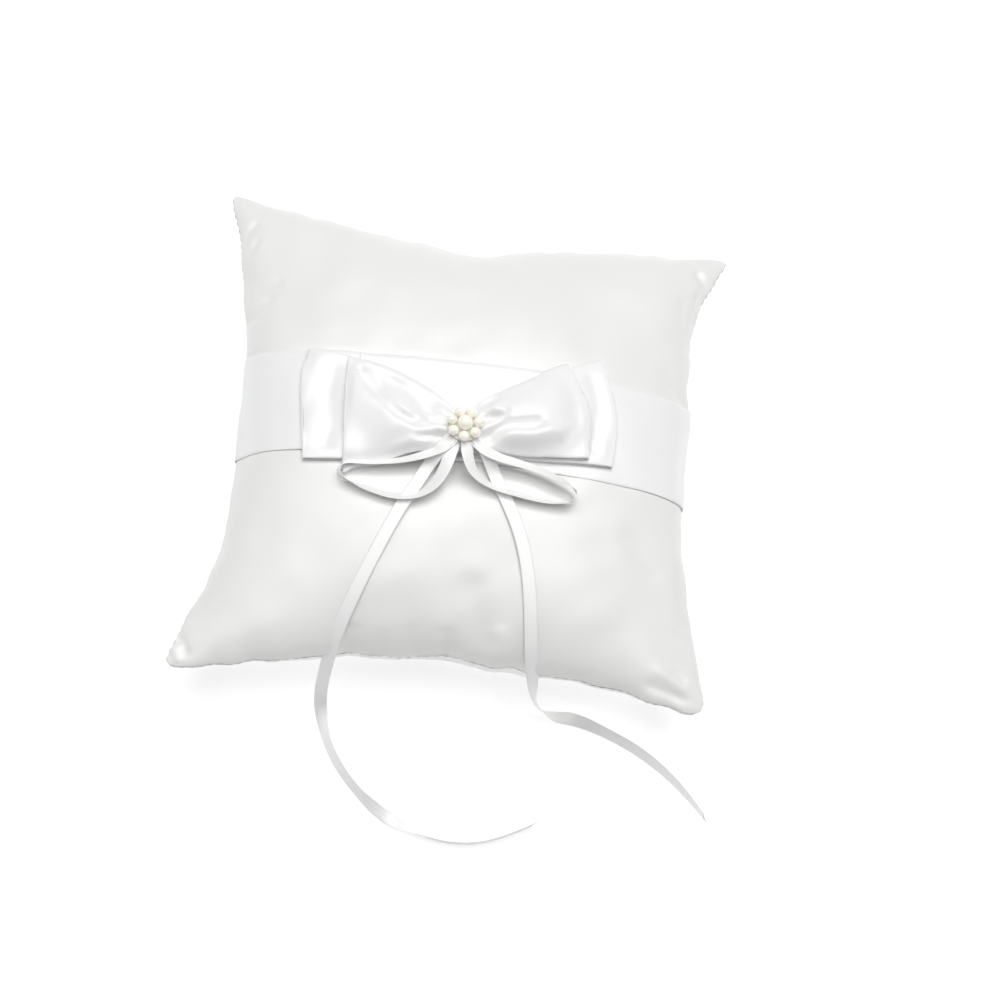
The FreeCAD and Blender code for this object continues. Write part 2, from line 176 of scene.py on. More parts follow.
def satin(name, colour, shade, rough, float_length, pitch, weave, crumple, sheen):
    """Satin: long floats along the cloth's first axis, fine threads across, and soft unevenness."""
    material, tree, shader = new_material(name)
    space = cloth_space(tree)
    floats = noise(tree, stretched(tree, space, (1 / float_length, 1 / pitch, 1)), 1.0, 3.0, 0.6)
    slubs = noise(tree, stretched(tree, space, (250, 3600, 1)), 1.0, 1.0)
    soft = noise(tree, space, 140.0, 2.0)
    tone = noise(tree, space, 35.0, 3.0)
    paint(tree, shader, ramp(tree, tone), colour, shade)
    relief = bump(tree, floats, weave, 0.00006, bump(tree, soft, crumple, 0.0004))
    connect(tree, shader, Roughness=ramp(tree, slubs, rough - 0.008, rough + 0.01), Normal=relief)
    set_inputs(shader, {"Specular IOR Level": 0.85, "Sheen Weight": sheen, "Sheen Roughness": 0.35})
    return material


def thread_material():
    """Twisted sewing thread: its plies wind round it."""
    material, tree, shader = new_material("sewing_thread")
    wave = tree.nodes.new("ShaderNodeTexWave")
    wave.bands_direction = "DIAGONAL"
    set_inputs(wave, {"Scale": 1, "Distortion": 0.6})
    tree.links.new(stretched(tree, cloth_space(tree), (2600, 2600, 1)), wave.inputs["Vector"])
    paint(tree, shader, wave.outputs["Fac"], (0.74, 0.73, 0.7), (0.88, 0.87, 0.85))
    connect(tree, shader, Normal=bump(tree, wave.outputs["Fac"], 0.7, 0.00006))
    set_inputs(shader, {"Roughness": 0.55, "Sheen Weight": 0.25})
    return material


def fibre_material(name, strand, clump, detail, colours, relief, roughness, sheen):
    """Loose fibres, matted in clumps. strand is how fine they are along each axis."""
    material, tree, shader = new_material(name)
    coords = object_space(tree)
    strands = noise(tree, stretched(tree, coords, strand), 1, 6, 0.7)
    paint(tree, shader, ramp(tree, noise(tree, coords, clump, detail)), *colours)
    connect(tree, shader, Normal=bump(tree, strands, *relief),
            Roughness=ramp(tree, strands, *roughness))
    set_inputs(shader, {"Sheen Weight": sheen})
    return material


def pearl_material():
    """Nacre coat over an ivory bead: faint clouds in its colour, a clear lacquer, and a faint
    painted glow.
    """
    material, tree, shader = new_material("pearl")
    coords = object_space(tree)
    clouds = noise(tree, coords, 420.0, 3.0)
    grain = noise(tree, coords, 2600.0, 2.0)
    paint(tree, shader, ramp(tree, clouds), (0.98, 0.93, 0.8), (0.99, 0.965, 0.875))
    connect(tree, shader, Roughness=ramp(tree, clouds, 0.16, 0.26),
            Normal=bump(tree, grain, 0.12, 0.00003))
    # The emission is a painted glow: the pearls shine faintly by themselves, which stands in for
    # light scattered through the nacre.
    set_inputs(shader, {"Specular IOR Level": 0.7, "Coat Weight": 0.8, "Coat Roughness": 0.06,
                        "Subsurface Weight": 0.3, "Subsurface Radius": (0.0012, 0.0009, 0.0006),
                        "Emission Color": (1, 0.93, 0.8, 1), "Emission Strength": 0.12})
    return material


def floor_material():
    """Pale table that glows a little, so that it stays as bright as the lights make it."""
    material, tree, shader = new_material("table")
    coords = object_space(tree)
    tone = noise(tree, coords, 6.0, 2.0)
    paint(tree, shader, ramp(tree, tone), (0.68, 0.68, 0.68), (0.7, 0.7, 0.7))
    set_inputs(shader, {"Roughness": 0.8, "Emission Strength": 0.55,
                        "Emission Color": (1, 1, 1, 1)})
    return material


COVER = satin("duchess_satin", (0.9, 0.897, 0.886), (0.885, 0.882, 0.872),
              0.4, 0.0016, 0.00022, 0.35, 0.06, 0.15)
WIDE = satin("wide_satin_ribbon", (0.955, 0.955, 0.956), (0.945, 0.945, 0.947),
             0.3, 0.003, 0.00018, 0.04, 0.04, 0.1)
NARROW = satin("narrow_satin_ribbon", (0.96, 0.96, 0.955), (0.95, 0.95, 0.945),
               0.36, 0.004, 0.00045, 0.4, 0.05, 0.1)
THREAD = thread_material()
FELT = fibre_material("wool_felt", (2600, 2600, 2600), 500, 3,
                      ((0.9, 0.89, 0.85), (0.95, 0.94, 0.91)), (0.9, 0.00018), (0.85, 1), 0.6)
FIBRE = fibre_material("polyester_fibre", (900, 160, 500), 60, 4,
                       ((0.86, 0.86, 0.87), (0.94, 0.94, 0.95)), (1, 0.0006), (0.7, 0.95), 0.4)
PEARL = pearl_material()


# ------------ mesh helpers
def mesh_piece(name, points, faces, material, cloth=None):
    """Object from points in millimetres. cloth gives each point its place on the flat cloth."""
    mesh = bpy.data.meshes.new(name)
    mesh.from_pydata((np.asarray(points, float) * MM).tolist(), [], faces)
    mesh.validate()
    mesh.update()
    if cloth is not None:
        layer = mesh.attributes.new("cloth", "FLOAT_VECTOR", "POINT")
        layer.data.foreach_set("vector", (np.asarray(cloth, np.float32) * MM).ravel())
    mesh.materials.append(material)
    mesh.polygons.foreach_set("use_smooth", [True] * len(mesh.polygons))
    return add_object(name, mesh)


def own(piece, node):
    """Let a piece stand for a node and on the only body."""
    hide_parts(node)
    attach(piece, "root")


def bell(away, width):
    return np.exp(-(away / width) ** 2)


def sines(count, endpoint=True):
    """Shares from -1 to 1, closer together at both ends."""
    return np.sin(np.linspace(-math.pi / 2, math.pi / 2, count, endpoint=endpoint))


def walk(points):
    """Distance walked along a line of points."""
    return np.concatenate([[0], np.cumsum(np.linalg.norm(np.diff(points, axis=0), axis=1))])


def round_again(ring):
    """A ring of points with its first point again at its end."""
    return np.concatenate([ring, ring[:1]])


def angles(count):
    return np.linspace(0, 2 * math.pi, count, endpoint=False)


def soft_table(table, fine, passes, places):
    """A table of places and values, softened at the fine places and read at others."""
    keys = np.array(table, float)
    values = np.interp(fine, keys[:, 0], keys[:, 1])
    for _ in range(passes):
        values[1:-1] = (values[:-2] + 2 * values[1:-1] + values[2:]) / 4
    return np.interp(places, fine, values)


def ring_faces(rings, sides, closed=False, base=0, flip=False):
    """Faces between each ring of points and the next."""
    faces = []
    for i in range(rings if closed else rings - 1):
        a, b = base + i * sides, base + (i + 1) % rings * sides
        for k in range(sides):
            m = (k + 1) % sides
            face = (a + k, b + k, b + m, a + m)
            faces.append((face[0], *face[:0:-1]) if flip else face)
    return faces


def unit(vectors):
    return vectors / np.maximum(np.linalg.norm(vectors, axis=-1, keepdims=True), 1e-12)


def grid_normals(grid, closed):
    """Normals of a grid of points, from its rows and columns."""
    if closed:
        along = np.roll(grid, -1, 0) - np.roll(grid, 1, 0)
    else:
        along = np.gradient(grid, axis=0)
    return unit(np.cross(along, np.gradient(grid, axis=1)))


def thick_sheet(name, grid, thickness, material, cloth, closed=False, bead=0.0):
    """Sheet of cloth round a grid of points (n, m): two faces, rounded selvages and closed ends.
    bead is how much thicker the selvages are, and cloth (n, m, 2) the place on the flat cloth."""
    n, m = grid.shape[:2]
    normals = grid_normals(grid, closed)
    half = np.full(m, thickness / 2)
    half[0] += bead / 2
    half[-1] += bead / 2
    up = grid + normals * half[None, :, None]
    down = grid - normals * half[None, :, None]
    first = grid[:, 0] + unit(grid[:, 0] - grid[:, 1]) * half[0]
    last = grid[:, -1] + unit(grid[:, -1] - grid[:, -2]) * half[-1]
    rings = np.concatenate([first[:, None], up, last[:, None], down[:, ::-1]], 1)
    flat = np.zeros((n, m, 3))
    flat[..., :2] = cloth
    marks = np.concatenate([flat[:, :1], flat, flat[:, -1:], flat[:, ::-1]], 1)
    count = 2 * m + 2
    faces = ring_faces(n, count, closed)
    if not closed:
        for base, turn in ((0, 1), ((n - 1) * count, -1)):
            top = [base + 1 + j for j in range(m)]
            low = [base + count - 1 - j for j in range(m)]
            for j in range(m - 1):
                faces.append((top[j], top[j + 1], low[j + 1], low[j])[::turn])
            faces.append((base, top[0], low[0])[::turn])
            faces.append((top[-1], base + m + 1, low[-1])[::turn])
    return mesh_piece(name, rings.reshape(-1, 3), faces, material, marks.reshape(-1, 3))


def smooth_curve(points, shares):
    """Natural cubic spline through points, read at shares of its chord length."""
    points = np.asarray(points, float)
    knots = walk(points)
    knots /= knots[-1]
    h = np.diff(knots)
    n = len(points)
    system, right = np.zeros((n, n)), np.zeros((n, points.shape[1]))
    system[0, 0] = system[-1, -1] = 1
    for i in range(1, n - 1):
        system[i, i - 1:i + 2] = h[i - 1], 2 * (h[i - 1] + h[i]), h[i]
        right[i] = 6 * ((points[i + 1] - points[i]) / h[i] - (points[i] - points[i - 1]) / h[i - 1])
    bend = np.linalg.solve(system, right)
    shares = np.clip(np.asarray(shares, float), 0, 1)
    i = np.clip(np.searchsorted(knots, shares, side="right") - 1, 0, n - 2)
    a, b, w = (knots[i + 1] - shares)[:, None], (shares - knots[i])[:, None], h[i][:, None]
    return (bend[i] * a ** 3 + bend[i + 1] * b ** 3) / (6 * w) + (
        points[i] / w - bend[i] * w / 6) * a + (points[i + 1] / w - bend[i + 1] * w / 6) * b


def waves(x, y, seed, length, count=16):
    """Smooth random field from about -1 to 1, with features of about that length."""
    random = np.random.default_rng(seed)
    total = np.zeros_like(x, float)
    for _ in range(count):
        turn, phase = random.uniform(0, 2 * math.pi, 2)
        rate = 2 * math.pi / (length * random.uniform(0.7, 1.6))
        total += np.sin((x * math.cos(turn) + y * math.sin(turn)) * rate + phase)
    return total / math.sqrt(count)


def line_distance(x, y, line):
    """Signed distance to a line of points, positive on its left, and the share walked along it."""
    line = np.asarray(line, float)
    lengths = np.linalg.norm(np.diff(line, axis=0), axis=1)
    walked = np.concatenate([[0], np.cumsum(lengths)])
    best, signed, share = np.full(np.shape(x), 1e9), np.zeros(np.shape(x)), np.zeros(np.shape(x))
    for (ax, ay), (bx, by), length, done in zip(line, line[1:], lengths, walked):
        dx, dy = (bx - ax) / length, (by - ay) / length
        t = np.clip((x - ax) * dx + (y - ay) * dy, 0, length)
        away = np.hypot(x - ax - dx * t, y - ay - dy * t)
        near = away < best
        best = np.where(near, away, best)
        signed = np.where(near, np.sign(dx * (y - ay) - dy * (x - ax)) * away, signed)
        share = np.where(near, (done + t) / walked[-1], share)
    return signed, share


def crease(x, y, line, height, left, right, fade=0.25):
    """Ridge, or valley for a negative height, along a line. It falls off over its left and right
    widths, and fades out over a share of its length at both ends."""
    signed, share = line_distance(x, y, line)
    width = np.where(signed > 0, left, right)
    ends = np.clip(np.minimum(share, 1 - share) / fade, 0, 1)
    ends = ends * ends * (3 - 2 * ends)
    return height * ends * bell(signed, width)


class Heights:
    """Highest surface of some pieces over a 1 mm grid."""

    def __init__(self, pieces, low, high):
        self.x0, self.y0 = low
        self.shape = (int(high[0] - low[0]) + 1, int(high[1] - low[1]) + 1)
        self.z = np.zeros(self.shape)
        trees = [BVHTree.FromPolygons([v.co for v in mesh.vertices],
                                      [p.vertices for p in mesh.polygons])
                 for mesh in (piece.data for piece in pieces)]
        down, top = Vector((0, 0, -1)), 0.2
        for i in range(self.shape[0]):
            for j in range(self.shape[1]):
                start = Vector(((self.x0 + i) * MM, (self.y0 + j) * MM, top))
                for tree in trees:
                    hit = tree.ray_cast(start, down)[0]
                    if hit is not None:
                        self.z[i, j] = max(self.z[i, j], hit.z / MM)

    def grown(self, reach):
        """The highest value within reach, in millimetres."""
        for axis in (0, 1):
            best = self.z.copy()
            for step in range(-reach, reach + 1):
                best = np.maximum(best, np.roll(self.z, step, axis))
            self.z = best
        return self

    def smoothed(self, passes):
        for _ in range(passes):
            for axis in (0, 1):
                self.z = (np.roll(self.z, 1, axis) + 2 * self.z + np.roll(self.z, -1, axis)) / 4
        return self

    def at(self, x, y):
        i = np.clip(np.asarray(x, float) - self.x0, 0, self.shape[0] - 1.001)
        j = np.clip(np.asarray(y, float) - self.y0, 0, self.shape[1] - 1.001)
        a, b = i.astype(int), j.astype(int)
        p, q = i - a, j - b
        return ((self.z[a, b] * (1 - p) + self.z[a + 1, b] * p) * (1 - q)
                + (self.z[a, b + 1] * (1 - p) + self.z[a + 1, b + 1] * p) * q)


# ------------ narrow ribbon: routes
TIE_WIDTH = 4.8
TIE_THICK, TIE_BEAD = 0.2, 0.06
TIE_CUT = 2.5                       # slant of a tail's cut end
TAIL_LEFT = [
    (-4, -8, 62.2), (-7, -12.6, 63), (-9.8, -16.6, 60.2), (-12.5, -20.5, 57.4), (-16, -27.5, 56.4),
    (-20.4, -35.5, 55.5), (-25, -46, 54), (-29.7, -57.5, 51.6), (-34.5, -70, 47.8),
    (-38.6, -81, 42.6), (-41.4, -90, 34.5), (-43, -95.5, 22), (-43.6, -99, 9), (-42.6, -105, 2.8),
    (-38.6, -117.5, 2.4), (-31, -129, 2.3), (-19.5, -140, 2.3), (-4, -148.5, 2.5),
    (14, -151.8, 2.6), (31, -148, 2.6), (45, -139.5, 2.6)]
TAIL_RIGHT = [
    (4.5, -8, 62.2), (8, -12.2, 62.8), (11, -16.6, 60), (13.8, -21.4, 57), (18.6, -29.5, 56),
    (24, -39.5, 54.8), (28.2, -51, 52.8), (31, -64, 49.8), (32.6, -76, 45.6), (34.3, -86.5, 38.8),
    (37, -94, 26), (40.8, -97.5, 12), (47, -97, 3.2), (56, -96.4, 2.6), (68.5, -100.5, 2.4),
    (82, -106.6, 2.4), (94, -114.8, 2.5), (103.8, -124.2, 2.6), (110.4, -132, 2.6)]
LOOP_LEFT = [
    (-2.5, -8.5, 62.3), (-4.2, -14.5, 62.2), (-5.6, -21, 60.8), (-8.6, -27.5, 58.6),
    (-14.5, -32.4, 56.6), (-23.5, -33.8, 55.9), (-32.5, -31.8, 55.4), (-40, -29.4, 55.3),
    (-44.4, -28.1, 55.6), (-46.6, -25.2, 56.2), (-44.6, -22.3, 56.4), (-39.4, -21.2, 56.7),
    (-30.5, -20.6, 57.5), (-21, -19.2, 58.8), (-12, -16.2, 61), (-5.5, -12.5, 62.4),
    (-3.6, -8.5, 62.8)]
LOOP_RIGHT = [
    (4, -8.5, 62.3), (7.2, -12.6, 62.8), (13.5, -15.2, 61.8), (22, -16.2, 60.6),
    (30.5, -17.7, 59.6), (37.5, -20, 58.8), (42.6, -21.6, 58.2), (46, -24, 56.4),
    (44.5, -27.4, 55.8), (39.6, -28.8, 55.6), (31, -28.6, 56), (21.5, -27.4, 56.8),
    (12.5, -26, 57.8), (5.6, -22.8, 59.8), (2.4, -17, 61.9), (1.5, -11.5, 62.5), (1.8, -8, 62.8)]
# Roll of the ribbon about its route, in degrees, at distances along it: 0 lies flat.
ROLL_TAIL_LEFT = [
    (0, 20), (12, 0), (128, 0), (140, 55), (168, 60), (184, 0), (196, -82), (246, -88)]
ROLL_TAIL_RIGHT = [
    (0, -20), (12, 0), (96, 0), (110, -30), (120, -70), (130, -20), (138, 20), (150, 55),
    (172, 60), (188, 75), (200, 92), (206, 96)]
ROLL_LOOP_LEFT = [
    (0, -20), (12, 15), (28, 40), (50, 45), (56, 68), (60, 90), (65, 112), (73, 136), (90, 140),
    (104, 160), (111, 180)]
ROLL_LOOP_RIGHT = [
    (0, 180), (12, 155), (36, 142), (43, 115), (47, 90), (52, 66), (60, 47), (85, 40), (100, 15),
    (105, 0)]


def route_points(name, route):
    """Points of the smooth NURBS line whose control points are the route."""
    curve = bpy.data.curves.new(name + "_route", "CURVE")
    curve.dimensions = "3D"
    spline = curve.splines.new("NURBS")
    spline.points.add(len(route) - 1)
    for point, place in zip(spline.points, route):
        point.co = (*(c * MM for c in place), 1)
    spline.order_u = 3
    spline.use_endpoint_u = True
    spline.resolution_u = 10
    obj = add_object(name + "_route", curve)
    mesh = bpy.data.meshes.new_from_object(obj)
    points = np.array([v.co for v in mesh.vertices]) / MM
    bpy.data.meshes.remove(mesh)
    bpy.data.objects.remove(obj)
    bpy.data.curves.remove(curve)
    return points


def ribbon_along(name, points, rolls, cut):
    """Flat narrow ribbon along points, rolled about them. cut slants its far end."""
    walked = walk(points)
    along = unit(np.gradient(points, axis=0))
    level = unit(np.stack([-along[:, 1], along[:, 0], np.zeros(len(points))], 1))
    over = np.cross(along, level)
    roll = np.radians(soft_table(rolls, np.linspace(0, walked[-1], 400), 60, walked))[:, None]
    across = level * np.cos(roll) + over * np.sin(roll)
    face = np.cross(along, across)
    shares = np.linspace(-1, 1, 11)
    cup = 0.12 * (1 - shares ** 2) + 0.03 * np.sin(shares * 9)
    grid = (points[:, None] + across[:, None] * (shares * TIE_WIDTH / 2)[None, :, None]
            + face[:, None] * cup[None, :, None])
    if cut:
        slant = np.clip((walked - walked[-1] + 4) / 4, 0, 1)
        grid -= along[:, None] * (slant[:, None] * (1 + shares) / 2 * cut)[..., None]
    cloth = np.stack(np.broadcast_arrays(walked[:, None], shares * TIE_WIDTH / 2), -1)
    return thick_sheet(name, grid, TIE_THICK, NARROW, cloth, bead=TIE_BEAD)


def narrow_ribbons():
    for name, route, rolls, far_end, cut, length in (
            ("tie_tail_left", TAIL_LEFT, ROLL_TAIL_LEFT, "bare", TIE_CUT, 0.243),
            ("tie_tail_right", TAIL_RIGHT, ROLL_TAIL_RIGHT, "bare", TIE_CUT, 0.205),
            ("tie_loop_left", LOOP_LEFT, ROLL_LOOP_LEFT, "object", 0, 0.110),
            ("tie_loop_right", LOOP_RIGHT, ROLL_LOOP_RIGHT, "object", 0, 0.1045)):
        points = route_points(name, route)
        ribbon = ribbon_along(name + "_ribbon", points, rolls, cut)
        own(ribbon, name)
        print(name, "route", round(float(walk(points)[-1]), 1))


# ------------ cushion
CORNER_X, CORNER_Y = 102.0, 100.0
SEAM_Z, CROWN, SAG = 30.0, 25.5, 29.3
ROUNDING, FULLNESS, FLATTENING = 2.2, 0.55, 3.5
UNDERCUT, UNDERCUT_DEPTH = 4.2, 9   # how far the lower panel turns in below the seam, and how soon
RIM_WAVE, RIM_WAVE_LENGTH = 0.45, 16
BAND_PRESS = 0.45                   # how deep the band sinks into the top panel
PANEL_FLOOR, FILLING_FLOOR = 0.75, 1.7     # lowest middle of a panel, and of the filling
EDGE_X, EDGE_Y = (12.75, -1.75), (11.95, -1.35)   # how far the edges pull in, and its slant
CORNER_MOVES = {(-1, 1): (-1.2, 1.4), (1, 1): (1.9, -1.4),
                (1, -1): (-1.8, 1.4), (-1, -1): (1.4, -1.8)}
EARS = {(-1, 1): (-4.2, 5.8), (1, 1): (5.2, 4.9), (1, -1): (5.8, -4.5), (-1, -1): (-5.2, -3.2)}
EAR_NARROW = 14
TIP_ROUND, TIP_SHARPNESS = 5.0, 22
# How far each edge stands out from its plain curve: place along it, from -1 to 1, and distance.
BACK_EDGE = [
    (-1, 2), (-0.84, 2.4), (-0.72, 3.4), (-0.48, 2.6), (-0.24, 1.6), (-0.12, 0.3), (0, -1.6),
    (0.12, 2.2), (0.24, 4.1), (0.42, 6.1), (0.6, 6.7), (0.72, 4.6), (0.84, 3.4), (1, 1.6)]
FRONT_EDGE = [
    (-1, 0.5), (-0.85, 1.5), (-0.7, 2.4), (-0.47, 2), (-0.34, 0.3), (-0.24, 1.8), (-0.12, 1.2),
    (0, -0.8), (0.06, 0), (0.16, 2.4), (0.33, 1.8), (0.6, 1), (0.8, 0.8), (1, 0.5)]
LEFT_EDGE = [
    (-1, 0.8), (-0.88, 1.2), (-0.77, 0.5), (-0.66, -1.9), (-0.45, -3), (-0.2, -1), (0, -0.2),
    (0.2, -1.3), (0.43, -1), (0.65, -0.3), (0.86, -2.2), (1, -0.5)]
RIGHT_EDGE = [
    (-1, 0.2), (-0.91, 1), (-0.82, 2.5), (-0.66, 1.3), (-0.5, 1.4), (-0.28, -0.4), (0.25, 0),
    (0.36, -2.4), (0.53, -4), (0.71, -5.5), (0.8, -4.8), (0.89, -2.5), (1, 1)]
PANEL_THICK = 0.5
GROOVE, GROOVE_REACH = 0.8, 0.9
BAND_Y, BAND_WIDTH = 6.0, 43.0

# Creases of the top panel: a line in plan, its height, and its widths left and right of it.
TOP_CREASES = [
    ([(-100, -89), (-96.5, -93), (-94, -99)], -0.9, 1.6, 2.6),
    ([(-101, -93.5), (-99, -97), (-97, -101)], 0.5, 1.5, 1.5),
    ([(76, -90), (84, -91.8), (91, -93.6), (97, -96)], -0.9, 2.6, 2.2),
    ([(80, -84), (87, -87), (94, -90.5), (98, -94)], 0.6, 3, 2.2),
    ([(88.5, -83.5), (92, -85.8), (95.5, -88.5)], -0.45, 1.8, 1.8),
    ([(-89.5, 92), (-93, 87), (-96.5, 81)], -0.8, 1.6, 1.6),
    ([(-88.5, 84.5), (-91, 78.5), (-93.5, 72)], -0.7, 1.5, 1.5),
    ([(-76, 62), (-83, 59.5), (-90, 57.5)], -0.8, 3, 2.2),
    ([(-79, 56), (-84.5, 49), (-89.5, 41)], -1.1, 1.8, 2.2),
    ([(90.5, 93), (94, 88.5), (97.5, 84)], -1.2, 2, 2),
    ([(93.5, 84), (91.3, 75), (90.5, 64)], -1, 1.5, 1.5),
    ([(87, 79), (85.5, 70), (85.5, 60)], -0.5, 2, 2),
    ([(78, 43.5), (84, 36.5), (90, 29)], -0.8, 1.4, 1.8),
    ([(80, 36.5), (85.5, 31), (90.5, 26)], -0.8, 1.4, 1.4),
    ([(17.8, -90), (15.9, -83), (12.6, -76), (10.5, -67), (9.5, -56)], -1, 5, 4.4),
    ([(23.5, -89), (22.5, -82), (20, -76)], 0.7, 3, 3),
    ([(-35.8, -91), (-34.8, -86), (-34, -80)], -0.8, 2.2, 2.6),
    ([(2.8, -88), (1.6, -84), (0.5, -78)], -0.8, 2.2, 2.2),
    ([(-12, -89), (-12.5, -84), (-13, -79)], -0.6, 1.6, 1.6),
    ([(-23.5, -90), (-23, -85), (-23, -81)], -0.5, 1.5, 1.5),
    ([(97, -75), (92, -71.5), (86, -69)], -0.6, 1.2, 1.2),
    ([(95.5, -66), (91, -63), (86, -62)], -0.5, 1.2, 1.2),
    ([(64, -33), (74, -42), (84, -52)], -0.9, 5, 4),
    ([(-94.5, -52), (-89, -47), (-84, -44)], -0.5, 1.6, 1.6),
    ([(-96, -64), (-91.5, -60), (-88, -58)], -0.4, 1.4, 1.4),
]
DIMPLE = (-0.5, -20.5, 2.6, 3.6, 4.6)    # in front of the knot: x, y, depth, and its two radii


def section_share(u, v):
    room = np.clip((1 - np.abs(u) ** ROUNDING) * (1 - np.abs(v) ** ROUNDING), 0, 1)
    return room ** FULLNESS


def edge_shape(place, table):
    return soft_table(table, np.linspace(-1, 1, 201), 16, place)


def plan(u, v):
    """Place on the cushion's plan, with the small differences between its corners and edges."""
    x = CORNER_X * u - (EDGE_X[0] + EDGE_X[1] * u) * (1 - v * v) * u ** 3
    y = CORNER_Y * v - (EDGE_Y[0] + EDGE_Y[1] * v) * (1 - u * u) * v ** 3
    for moves, narrow in ((CORNER_MOVES, 2), (EARS, EAR_NARROW)):
        for (cu, cv), (mx, my) in moves.items():
            share = ((1 + cu * u) * (1 + cv * v) / 4) ** narrow
            x, y = x + mx * share, y + my * share
    side_x, side_y = np.abs(u) ** 5, np.abs(v) ** 5
    x = x + side_x * np.where(u > 0, edge_shape(v, RIGHT_EDGE), -edge_shape(v, LEFT_EDGE))
    y = y + side_y * np.where(v > 0, edge_shape(u, BACK_EDGE), -edge_shape(u, FRONT_EDGE))
    tip = (np.abs(u) * np.abs(v)) ** TIP_SHARPNESS
    x, y = x - np.sign(u) * TIP_ROUND * tip, y - np.sign(v) * TIP_ROUND * tip
    rim_x, rim_y = np.abs(u) ** 12, np.abs(v) ** 12
    x = x + np.sign(u) * rim_x * RIM_WAVE * waves(y, np.sign(u) * 50, 21, RIM_WAVE_LENGTH)
    y = y + np.sign(v) * rim_y * RIM_WAVE * waves(x, np.sign(v) * 50, 22, RIM_WAVE_LENGTH)
    return x, y


def base_surface(u, v, upper):
    share = section_share(u, v)
    x, y = plan(u, v)
    if upper:
        return np.stack([x, y, SEAM_Z + CROWN * share], -1)
    drop = SAG * (1 - (1 - share) ** FLATTENING)
    under = UNDERCUT * (1 - np.exp(-drop / UNDERCUT_DEPTH))
    x, y = x - np.sign(u) * np.abs(u) ** 6 * under, y - np.sign(v) * np.abs(v) ** 6 * under
    return np.stack([x, y, SEAM_Z - drop], -1)


def seam_edge(u, v):
    """Distances in plan to the two nearest edges, left or right and front or back."""
    return (1 - np.abs(u)) * CORNER_X, (1 - np.abs(v)) * CORNER_Y


def puckers(place, rim, seed):
    """Small gathers square to the seam, which die away from it."""
    total = 0
    for i, length in enumerate((5.5, 8.5, 14)):
        strength = 0.5 + 0.5 * waves(place, place * 0, seed + 7 * i, 60)
        total = total + strength * waves(place, place * 0, seed + 7 * i + 3, length, 6)
    return 0.2 * total * (1 - bell(rim, 1.6)) * np.exp(-rim / 6.5)


def cushion_surface(u, v, upper):
    """Points of the cushion's outside, and the outward direction there."""
    step = 2e-3
    points = base_surface(u, v, upper)
    u0, u1, v0, v1 = (np.clip(w, -1, 1) for w in (u - step, u + step, v - step, v + step))
    du = base_surface(u1, v, upper) - base_surface(u0, v, upper)
    dv = base_surface(u, v1, upper) - base_surface(u, v0, upper)
    normals = unit(np.cross(du, dv)) * (1 if upper else -1)
    x, y, z = np.moveaxis(points, -1, 0)
    beside, before = seam_edge(u, v)
    rim = np.hypot(np.minimum(beside, before), z - SEAM_Z)
    seed = 100 if upper else 200
    out = np.where(beside < before, puckers(y + 300 * np.sign(u), rim, seed),
                   puckers(x + 300 * np.sign(v), rim, seed + 1))
    calm = 1 - bell(rim, 5)
    if upper:
        out = out + calm * (0.55 * waves(x, y, 31, 52) + 0.16 * waves(x, y, 32, 19))
        for spec in TOP_CREASES:
            out = out + crease(x, y, *spec) * (1 - bell(rim, 1.2))
        dx, dy, depth, wide, tall = DIMPLE
        out = out - depth * np.exp(-((x - dx) / wide) ** 2 - ((y - dy) / tall) ** 2)
        pressed = 1 / (1 + np.exp(-(BAND_WIDTH / 2 + 0.5 - np.abs(y - BAND_Y)) / 0.5))
        out = out - BAND_PRESS * pressed * calm
    else:
        flat = np.clip((z - 1.5) / 6, 0, 1)
        out = out + calm * flat * (0.4 * waves(x, y, 41, 46) + 0.15 * waves(x, y, 42, 17))
    points = points + normals * out[..., None]
    inward = np.stack([-x, -y, 0 * x], -1)
    points = points + unit(inward) * (GROOVE * bell(rim, GROOVE_REACH))[..., None]
    return points, normals


def cushion_grid(count):
    return np.meshgrid(sines(count), sines(count), indexing="ij")


def cushion():
    u, v = cushion_grid(151)
    cloth = np.stack([u * CORNER_X, v * CORNER_Y], -1)
    pieces = []
    for name, node, upper in (("top_panel_satin", "top_panel", True),
                              ("bottom_panel_satin", "bottom_panel", False)):
        points, normals = cushion_surface(u, v, upper)
        rise = 0.12 if upper else -0.12
        rim = np.hypot(np.minimum(*seam_edge(u, v)), points[..., 2] - SEAM_Z)
        points = points - normals * (PANEL_THICK / 2)
        points[..., 2] += rise * 3 * bell(rim, 1)
        points[..., 2] = np.maximum(points[..., 2], PANEL_FLOOR)
        grid = points if upper else points[:, ::-1]
        marks = cloth if upper else cloth[:, ::-1]
        panel = thick_sheet(name, grid, PANEL_THICK, COVER, marks)
        own(panel, node)
        pieces.append(panel)
    filling()
    return pieces


